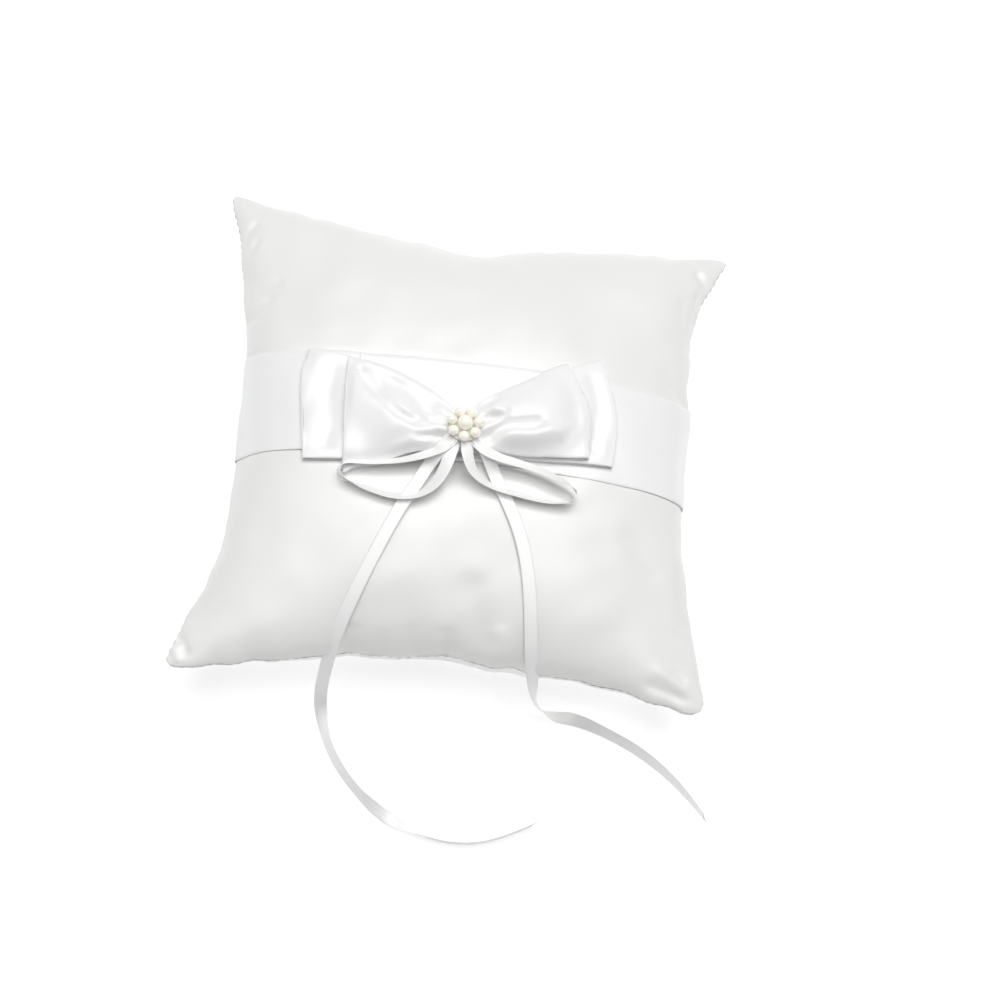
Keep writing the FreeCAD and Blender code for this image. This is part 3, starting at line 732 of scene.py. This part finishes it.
def filling():
    """Polyester fibre inside the two panels, one closed lumpy body."""
    u, v = cushion_grid(61)
    inset = PANEL_THICK + 0.6
    rim = (np.abs(u) > 0.9999) | (np.abs(v) > 0.9999)
    sides = []
    for upper in (True, False):
        points, normals = cushion_surface(u * 0.985, v * 0.985, upper)
        x, y = points[..., 0], points[..., 1]
        points = points - normals * (inset + 0.3 + 0.3 * waves(x, y, 51, 9))[..., None]
        points[..., 2] = np.maximum(points[..., 2], FILLING_FLOOR)
        points[rim, 2] = SEAM_Z
        sides.append(points)
    n = len(u)
    sides[1][rim] = sides[0][rim]
    index_top = np.arange(n * n).reshape(n, n)
    index_low = np.full((n, n), -1)
    index_low[rim] = index_top[rim]
    index_low[~rim] = n * n + np.arange(int((~rim).sum()))
    faces = []
    for i in range(n - 1):
        for j in range(n - 1):
            for index, turn in ((index_top, 1), (index_low, -1)):
                corners = index[[i, i + 1, i + 1, i], [j, j, j + 1, j + 1]]
                faces.append(tuple(corners.tolist())[::turn])
    points = np.concatenate([sides[0].reshape(-1, 3), sides[1][~rim]])
    body = mesh_piece("fibre_filling", points, faces, FIBRE)
    own(body, "filling")


# ------------ waist band
BAND_THICK = 0.4
BAND_LAP, LAP_X = 8.0, -50.4       # half the lap, and its middle
BAND_ROWS = 25
BAND_STATIONS = 320
STAND_OFF, BEND_ROOM = 0.22, 0.9    # room under the band: everywhere, and more where it bends
LAP_LIFT = 0.55                     # rise of the upper lap
BAND_EASING = 10


def outer_hull(points):
    """Convex hull of points in a plane, counter-clockwise."""
    order = points[np.lexsort((points[:, 1], points[:, 0]))]
    halves = []
    for row in (order, order[::-1]):
        kept = []
        for p in row:
            while len(kept) > 1 and np.cross(kept[-1] - kept[-2], p - kept[-2]) <= 0:
                kept.pop()
            kept.append(p)
        halves += kept[:-1]
    return np.array(halves)


def cushion_section(y):
    """Points (x, z) of the cushion's outside at a depth y."""
    u = sines(241)
    v = np.full_like(u, y / CORNER_Y)
    for _ in range(12):
        v = v + (y - plan(u, v)[1]) / CORNER_Y
    return np.concatenate([cushion_surface(u, v, upper)[0][:, [0, 2]] for upper in (True, False)])


def band_row(y):
    """Stations round the cushion at a depth y, from the lower lap to the upper lap."""
    hull = outer_hull(cushion_section(y))[::-1]
    top = np.argmin(np.abs(hull[:, 0]) - hull[:, 1] * 10)
    closed = round_again(np.roll(hull, -top, 0))
    walked = walk(closed)
    fine = np.linspace(0, walked[-1], 1200, endpoint=False)
    ring = np.stack([np.interp(fine, walked, closed[:, k]) for k in (0, 1)], 1)
    for _ in range(26):
        ring = (np.roll(ring, 1, 0) + 2 * ring + np.roll(ring, -1, 0)) / 4
    along = unit(np.roll(ring, -1, 0) - np.roll(ring, 1, 0))
    outward = np.stack([-along[:, 1], along[:, 0]], 1)
    bend = np.linalg.norm(np.roll(along, -3, 0) - np.roll(along, 3, 0), axis=1)
    ring = ring + outward * (STAND_OFF + BEND_ROOM * np.clip(bend / 0.6, 0, 1))[:, None]
    ring[:, 1] = np.maximum(ring[:, 1], BAND_THICK / 2)
    below = (ring[:, 1] - 60) * (ring[:, 1] < SEAM_Z)
    start = np.argmin(np.hypot(ring[:, 0] - LAP_X + BAND_LAP, below))
    wrapped = round_again(np.roll(ring, -start, 0))
    steps = walk(wrapped)
    total = steps[-1]
    places = np.linspace(0, total + 2 * BAND_LAP, BAND_STATIONS)
    x, z = (np.interp(places % total, steps, wrapped[:, k]) for k in (0, 1))
    lift = np.clip((places - (total - 14)) / 12, 0, 1)
    return x, z + LAP_LIFT * lift * lift * (3 - 2 * lift), places


def waist_band():
    rows = np.linspace(-1, 1, BAND_ROWS)
    grid, cloth = (np.zeros((BAND_STATIONS, BAND_ROWS, size)) for size in (3, 2))
    for j, share in enumerate(rows):
        y = BAND_Y + share * BAND_WIDTH / 2
        x, z, places = band_row(y)
        grid[:, j] = np.stack([x, np.full_like(x, y), z], 1)
        cloth[:, j] = np.stack([places, np.full_like(x, y)], 1)
    for _ in range(BAND_EASING):
        grid[:, 1:-1, ::2] = (grid[:, :-2, ::2] + 2 * grid[:, 1:-1, ::2] + grid[:, 2:, ::2]) / 4
    x, y = grid[..., 0], grid[..., 1]
    upper = np.clip((grid[..., 2] - 20) / 20, 0, 1)
    grid[..., 2] += upper * np.clip(0.22 * waves(x, y * 0.3, 61, 30), -0.15, 1)
    band = thick_sheet("waist_band_ribbon", grid, BAND_THICK, WIDE, cloth, bead=0.12)
    own(band, "waist_band")
    print("band length", round(float(cloth[-1, BAND_ROWS // 2, 0]), 1))
    return band


# ------------ flat bow
RIBBON_THICK = 0.4
BOW_WIDTH = 48
ACROSS, BOW_STATIONS = 41, 132
LAYER_GAP, LEAST_LOFT = 0.35, 0.6
LOWER = dict(
    name="bow_lower_ribbon", node="bow_lower_layer",
    back=[(-62.2, 27), (-50, 25.2), (-30, 18), (-12, 8), (0, 3.2), (12, 9), (30, 24), (51.5, 36)],
    front=[
        (-59.6, -20), (-45, -19.4), (-25, -16.5), (-8, -13.6), (0, -12.6), (8, -12.4), (28, -12.2),
        (44, -10.6), (58.4, -9.4)],
    left=[(-62.2, 27), (-63.8, 18.7), (-63.8, 13), (-62.4, 1.5), (-60.8, -11), (-59.6, -20)],
    right=[(51.5, 36), (56.6, 23.2), (59.2, 9.8), (58.4, -9.4)],
    loft=3.4, fold=1.6)
UPPER = dict(
    name="bow_upper_ribbon", node="bow_upper_layer",
    back=[
        (-46.5, 23), (-38.6, 21.2), (-30.7, 19.4), (-19.1, 14.9), (-10.5, 9.4), (0, 3), (4.5, 8),
        (15.6, 16.6), (26.7, 23.8), (37.9, 30.6)],
    front=[
        (-43.7, -25.4), (-40.2, -23.2), (-30.5, -20.2), (-22.9, -16.9), (-16, -14.9), (-5, -13.6),
        (0, -12.2), (4.7, -11.6), (12.4, -12.2), (25.8, -11.9), (38.6, -10.4), (48.5, -8.9)],
    left=[(-46.5, 23), (-46.2, 12), (-45.8, 1.1), (-44.6, -14), (-43.7, -25.4)],
    right=[(37.9, 30.6), (42.3, 22.5), (47.5, 12.5), (48.9, 4.5), (48.5, -8.9)],
    loft=5.6, fold=1.7)
UPPER_FOLDS = [
    ([(-47, 19), (-40.6, 9.3), (-34.9, 1.9), (-27.2, -5.2), (-19, -8.6), (-8, -8)],
     1.7, 1.5, 8, 0.12),
    ([(-43.5, 18.5), (-37.2, 9.8), (-31.5, 3.2), (-24.5, -2.6), (-16, -5.4)], -2.2, 2.2, 1.3, 0.15),
    ([(-36, 17), (-30, 12.5), (-22, 7), (-13, 1.2), (-7, -2.4)], -3.4, 4.2, 5.5, 0.3),
    ([(-35, 8.5), (-29.5, 2.8), (-22, -1.6), (-16, -3.6)], 1.3, 2, 1.8, 0.3),
    ([(-44, 21), (-31, 17.6), (-19, 13), (-10, 7.4), (-3, 2.4)], 1.4, 1.8, 2.2, 0.12),
    ([(-20, -11.5), (-12, -9.4), (-5, -7.2)], -1.8, 1.4, 1.4, 0.4),
    ([(-17, -2), (-11, -3.6), (-5, -4.4)], -1.5, 1.2, 1.4, 0.4),
    ([(-30, -17.5), (-20, -13), (-8, -10.8)], 1, 2, 2, 0.3),
    ([(6, -8.6), (12.7, -3.9), (18.9, -0.7), (25.2, 0.3), (31.5, 2.6)], -3.2, 1.7, 3.2, 0.2),
    ([(9, -9.4), (16, -7), (25.2, -5.4), (36, -1.5), (41.5, 6)], 2.8, 3.6, 3.4, 0.25),
    ([(8, 5.5), (13, 3.5), (17.5, 1.8)], 1.8, 3, 2.6, 0.35),
    ([(5.5, 1.2), (11.5, 1), (16, 1.4)], -1.5, 1.3, 1.5, 0.4),
    ([(4, 5.2), (9, 8.8), (16, 12.5)], -1, 1.6, 1.6, 0.4),
    ([(33, 27), (41, 14), (44.5, 0)], -0.7, 3.5, 3.5, 0.2),
]
LOWER_FOLDS = [
    ([(-52.5, 24), (-52, 8), (-50.5, -6), (-53, -18)], -1.2, 4.5, 4.5, 0.1),
    ([(48, 30), (51, 16), (51.5, 2), (50, -7)], -0.9, 3.5, 3.5, 0.1),
]


def loop_gap(x, spec):
    """Distance between the two strands of a flat loop: pinched at the waist, small at its folds."""
    left = min(p[0] for p in spec["left"])
    right = max(p[0] for p in spec["right"])
    q = np.clip(np.where(x < 0, x / left, x / right), 0, 1)
    puff = np.sin(math.pi * q ** 0.85) ** 1.1
    return 1.3 + (spec["fold"] - 1.3) * q + (spec["loft"] - spec["fold"]) * puff, q


def bow_layer(spec, under, folds, pleats):
    """One closed loop of wide ribbon, pressed flat and pinched at its waist."""
    s = (1 - np.cos(np.linspace(0, math.pi, BOW_STATIONS))) / 2
    w = np.linspace(0, 1, ACROSS)
    back, front = (smooth_curve(spec[k], s) for k in ("back", "front"))
    left, right = (smooth_curve(spec[k][::-1], w) for k in ("left", "right"))
    sheet = front[:, None] * (1 - w)[None, :, None] + back[:, None] * w[None, :, None]
    ends = [front[k] * (1 - w)[:, None] + back[k] * w[:, None] for k in (0, -1)]
    fall = np.clip(1 - s / 0.3, 0, 1)[:, None, None] ** 2
    rise = np.clip(1 - (1 - s) / 0.3, 0, 1)[:, None, None] ** 2
    sheet = sheet + fall * (left - ends[0])[None] + rise * (right - ends[1])[None]
    x, y = sheet[..., 0], sheet[..., 1]
    gap, q = loop_gap(x, spec)
    edges = 1 - 0.8 * np.abs(2 * w - 1)[None] ** 2.3 * np.sin(math.pi * q ** 0.8)
    low = under.at(x, y) + LAYER_GAP
    gather = np.exp(-((np.abs(x) - 5) / 10).clip(0) ** 2)
    pleat = (0.75 * gather * np.sin(2 * math.pi * (pleats * w[None] + 0.15))
             * np.sin(math.pi * w[None]) ** 0.3)
    shaped = np.zeros_like(x)
    for fold in folds:
        shaped += crease(x, y, *fold)
    near_fold = np.clip((1 - q) / 0.06, 0, 1)
    lumps = 0.25 * waves(x, y, 71 + int(spec["loft"]), 17) * near_fold
    high = low + gap * edges + pleat + (shaped + lumps) * near_fold
    high = np.maximum(high, low + LEAST_LOFT)
    top = np.stack([x, y, high], -1)
    bottom = np.stack([x, y, low], -1)
    turns = []
    for end, sign in ((BOW_STATIONS - 1, 1), (0, -1)):
        centre, radius = (high[end] + low[end]) / 2, (high[end] - low[end]) / 2
        rows = []
        for angle in np.linspace(90, -90, 11)[1:-1]:
            a = math.radians(angle)
            rows.append(np.stack([x[end] + sign * radius * 0.8 * math.cos(a), y[end] + 0 * x[end],
                                  centre + radius * math.sin(a)], -1))
        turns.append(np.array(rows))
    loop = np.concatenate([top, turns[0], bottom[::-1], turns[1][::-1]])
    steps = np.linalg.norm(loop - np.roll(loop, 1, 0), axis=-1)
    steps[0] = 0
    walked = np.cumsum(steps.mean(1))
    cloth = np.stack(np.broadcast_arrays(walked[:, None], w[None] * BOW_WIDTH), -1)
    ribbon = thick_sheet(spec["name"], loop, RIBBON_THICK, WIDE, cloth, closed=True, bead=0.14)
    own(ribbon, spec["node"])
    print(spec["name"], "length", round(float(walked[-1]), 1))
    return ribbon


# ------------ threads, knot and pearls
def tube(name, node, routes, radius, sides, closed=False):
    """Threads as one piece: a round tube along each row of points, which narrows at its ends."""
    points, faces, cloth = [], [], []
    for route in routes:
        route = np.asarray(route, float)
        n = len(route)
        if closed:
            along = unit(np.roll(route, -1, 0) - np.roll(route, 1, 0))
        else:
            along = unit(np.gradient(route, axis=0))
        rest = np.where(np.abs(along[:, 2:3]) < 0.9, [[0.0, 0, 1]], [[1.0, 0, 0]])
        side = unit(np.cross(along, rest))
        over = np.cross(side, along)
        turn = angles(sides)
        swell = np.ones(n)
        if not closed:
            swell[0] = swell[-1] = 0.55
        ring = side[:, None] * np.cos(turn)[:, None] + over[:, None] * np.sin(turn)[:, None]
        rings = route[:, None] + ring * (radius * swell)[:, None, None]
        base = len(points)
        walked = walk(route)
        points += rings.reshape(-1, 3).tolist()
        cloth += [(walked[i], radius * 6.28 * k / sides, 0) for i in range(n) for k in range(sides)]
        faces += ring_faces(n, sides, closed, base, flip=True)
        if not closed:
            faces.append(tuple(base + k for k in range(sides))[::-1])
            faces.append(tuple(base + (n - 1) * sides + k for k in range(sides)))
    own(mesh_piece(name, points, faces, THREAD, cloth), node)


SEAM_PITCH, STITCH_RADIUS = 3.6, 0.17
HAND_SEWN = (-36, 3)                # X range of the front seam that is closed by hand
LAP_ROWS, LAP_PITCH, LAP_STITCHES = (-4, 4), 5, 8


def seam_marks(pitch):
    """Places, directions and outward directions at even steps round the seam."""
    steps = sines(240, endpoint=False)
    one = np.ones_like(steps)
    sides = [(steps, -one), (one, steps), (-steps, one), (-one, -steps)]
    u, v = (np.concatenate([side[k] for side in sides]) for k in (0, 1))
    ring = cushion_surface(u, v, True)[0]
    ring[:, 2] = SEAM_Z
    closed = round_again(ring)
    walked = walk(closed)
    places = np.arange(pitch / 2, walked[-1], pitch)
    spots, ahead = (np.stack([np.interp(places + step, walked, closed[:, k]) for k in range(3)], 1)
                    for step in (0, 0.5))
    along = unit(ahead - spots)
    return spots, along, np.cross(along, (0, 0, 1))


def seams():
    spots, along, outward = seam_marks(SEAM_PITCH)
    machine, hand = [], []
    for i, (spot, way, out) in enumerate(zip(spots, along, outward)):
        if spot[1] < -CORNER_Y / 2 and HAND_SEWN[0] < spot[0] < HAND_SEWN[1]:
            lean = 0.35 * math.sin(i * 2.1)
            foot = spot + out * 0.35
            run = [(-0.7 - lean, 0, -1.1), (-0.35, 0.25, -0.5),
                   (0.35, 0.25, 0.5), (0.7 - lean, 0, 1.1)]
            hand.append([foot + out * b + way * a + np.array([0, 0, z]) for a, b, z in run])
        else:
            arch = [(-1.25, -0.25), (-0.9, 0.05), (0, 0.12), (0.9, 0.05), (1.25, -0.25)]
            machine.append([spot + way * a + out * (b + 0.1) for a, b in arch])
    tube("perimeter_stitches", "perimeter_seam", machine, STITCH_RADIUS, 6)
    tube("closing_stitch_run", "closing_stitches", hand, STITCH_RADIUS, 6)


def lap_stitches(band_heights):
    rows = []
    for x in (LAP_X + row for row in LAP_ROWS):
        for i in range(LAP_STITCHES):
            y = BAND_Y + LAP_PITCH * (i - (LAP_STITCHES - 1) / 2)
            top = float(band_heights.at(x, y))
            arch = [(-1.4, -0.5), (-1.2, 0.02), (0, 0.1), (1.2, 0.02), (1.4, -0.5)]
            rows.append([(x, y + a, top + b) for a, b in arch])
    tube("lap_stitch_rows", "band_overlap_stitches", rows, STITCH_RADIUS, 6)


def bow_threads(surface, ground):
    """Turns of thread in the bow's waist, and the stitches that hold it to the band."""
    turns = []
    for k, x in enumerate((-1.35, -0.45, 0.45, 1.35)):
        ys = np.linspace(-13.6, 4.2, 25)
        over = [(x + 0.12 * math.sin(0.9 * y + k), y, float(surface.at(x, y)) + 0.25) for y in ys]
        low = float(ground.at(x, -4.5)) + 0.45
        under = [(x, y, low) for y in ys[::-1][2:-2]]
        turns.append(over + [(x, 4.9, low + 1.6)] + under + [(x, -14.3, low + 1.6)])
    tube("waist_binding", "bow_binding_thread", turns, 0.16, 6, closed=True)
    rows = []
    for x in (-3.2, 3.2):
        for y in (-12.6, 3.4):
            low, high = float(ground.at(x, y)), float(surface.at(x, y))
            lean = math.copysign(1.0, y + 4.5)
            rows.append([(x, y, low + 0.1), (x, y + lean, (low + high) / 2),
                         (x, y + lean * 0.6, high + 0.1), (x, y - lean, high + 0.25)])
    tube("anchor_stitch_group", "bow_anchor_stitches", rows, STITCH_RADIUS, 6)


def bead(name, node, centre, axis, radius, bore, seed):
    """Pearl bead on a bore: a turned profile with softly rolled mouths, slightly out of round."""
    mouth = math.asin(bore / radius)
    outside = [(max(radius * math.sin(angle), bore), radius * math.cos(angle))
               for angle in np.linspace(mouth, math.pi - mouth, 33)]
    lip, inside = (bore * 1.02, radius * 0.965), (bore, 0.6 * radius)
    profile = [inside, lip, *outside, (lip[0], -lip[1]), (bore, -inside[1]), (bore, 0.0)]
    sides = 48
    axis = unit(np.asarray(axis, float))
    side = unit(np.cross(axis, (0.3, 0.2, 1.0)))
    over = np.cross(axis, side)
    points = []
    for r, z in profile:
        for t in angles(sides):
            swell = (1 + 0.012 * math.sin(2 * t + seed) * (r / radius)
                     + 0.006 * math.sin(3 * t + 5 * z + seed))
            points.append(centre + (side * math.cos(t) + over * math.sin(t)) * r * swell + axis * z)
    faces = ring_faces(len(profile), sides, closed=True)
    own(mesh_piece(name, points, faces, PEARL), node)


PEARL_PLACE = (0.0, -4.5)
PEARL_CENTRE, PEARL_PETAL = 5.9, 4.1
PETALS, PETAL_RING, PETAL_TURN = 7, 5.35, 13.0
BORE = 0.35
FELT_LOW, FELT_TOP, FELT_RADIUS = 63.0, 63.8, 6.4
KNOT_Z = 61.6


def pearl_flower():
    middle = np.array([*PEARL_PLACE, FELT_TOP + PEARL_PETAL / 2])
    for i in range(PETALS):
        turn = math.radians(PETAL_TURN + 360 * i / PETALS)
        centre = middle + np.array([math.cos(turn), math.sin(turn), 0]) * PETAL_RING
        along = np.array([-math.sin(turn), math.cos(turn), 0])
        bead(f"petal_bead_{i + 1}", f"pearl_petal_{i + 1}", centre, along, PEARL_PETAL / 2,
             BORE, i * 1.7)
    centre = np.array([*PEARL_PLACE, FELT_TOP + PEARL_CENTRE / 2])
    bead("centre_bead", "pearl_centre", centre, (1, 0, 0), PEARL_CENTRE / 2, BORE, 0.6)
    turn = angles(96)
    ring = middle + np.stack([np.cos(turn), np.sin(turn), 0 * turn], 1) * PETAL_RING
    tube("petal_ring_thread", "bead_ring_thread", [ring], 0.2, 8, closed=True)
    x = PEARL_CENTRE / 2 + 0.2
    y = PEARL_PLACE[1]
    down = [(-x, y, FELT_TOP + 0.1), (-x, y, FELT_TOP + 1.5), (-x + 0.1, y, centre[2] - 0.5),
            (-x + 0.6, y, centre[2])]
    up = [(-p[0], p[1], p[2]) for p in down[::-1]]
    run = [(t, y, centre[2]) for t in np.linspace(-x + 1.2, x - 1.2, 9)]
    tube("centre_bead_thread", "centre_pearl_thread", [down + run + up], 0.12, 8)


def felt_disc():
    """Felt disc under the pearls, with a slightly uneven cut edge."""
    sides, rings = 96, 12
    points = []
    rows = [(r / rings, FELT_TOP) for r in range(1, rings + 1)]
    rows += [(1.015, FELT_TOP - 0.2), (1.02, FELT_LOW + 0.25)]
    rows += [(r / rings, FELT_LOW) for r in range(rings, 0, -1)]
    for share, z in rows:
        for t in angles(sides):
            uneven = 1 + 0.008 * math.sin(17 * t) + 0.006 * math.sin(29 * t + 1)
            edge = FELT_RADIUS * share * uneven
            x, y = edge * math.cos(t), edge * math.sin(t)
            rough = 0.05 * math.sin(3.1 * x + 1.3 * y) * math.sin(2.7 * y - 1.1 * x)
            points.append((PEARL_PLACE[0] + x, PEARL_PLACE[1] + y, z + rough))
    faces = ring_faces(len(rows), sides)
    faces.append(tuple(range(sides)))
    last = (len(rows) - 1) * sides
    faces.append(tuple(last + k for k in range(sides))[::-1])
    own(mesh_piece("felt_disc", points, faces, FELT), "pearl_backing")


def tie_knot():
    """Knot of the narrow ribbon: its wrap goes round the crossing, with soft folds."""
    a, b = np.meshgrid(angles(72), np.linspace(-1, 1, 25), indexing="ij")
    tall, deep = 1.25, 4.2
    fold = 0.16 * np.sin(7 * b + 0.6 * np.sin(a)) + 0.08 * np.sin(15 * b + 2 * np.sin(2 * a))
    narrow = 1 - 0.18 * np.cos(a) ** 2
    x = PEARL_PLACE[0] + b * 5.2 * narrow
    cos, sin = np.cos(a), np.sin(a)
    y = PEARL_PLACE[1] + (deep + fold) * np.sign(cos) * np.abs(cos) ** 0.8 * (1 - 0.12 * b * b)
    z = KNOT_Z + (tall + fold * 0.6) * np.sign(sin) * np.abs(sin) ** 0.7 * (1 - 0.25 * b ** 4)
    grid = np.stack([x, y, z], -1)
    cloth = np.stack([a * 3.2, b * 2.5], -1)
    knot = thick_sheet("tie_knot_wrap", grid, 0.3, NARROW, cloth, closed=True, bead=0.1)
    own(knot, "tie_knot")


# ------------ build
BOW_AREA = ((-76, -34), (70, 44))
WAIST_AREA = ((-20, -24), (20, 20))
LAP_AREA = ((-60, -24), (-40, 32))

camera()
narrow_ribbons()
top_panel = cushion()[0]
band = waist_band()
over_band = Heights([top_panel, band], *BOW_AREA).grown(1).smoothed(4)
lap_stitches(Heights([band], *LAP_AREA))
lower = bow_layer(LOWER, over_band, LOWER_FOLDS, 3.0)
over_lower = Heights([top_panel, band, lower], *BOW_AREA).grown(1).smoothed(3)
upper = bow_layer(UPPER, over_lower, UPPER_FOLDS, 3.0)
over_bow = Heights([top_panel, band, lower, upper], *WAIST_AREA)
ground = Heights([top_panel, band], *WAIST_AREA)
bow_threads(over_bow, ground)
seams()
tie_knot()
felt_disc()
pearl_flower()

bpy.ops.mesh.primitive_grid_add(x_subdivisions=8, y_subdivisions=8, size=6)
floor = bpy.context.object
floor.name = "table_top"
floor.data.materials.append(floor_material())
studio()
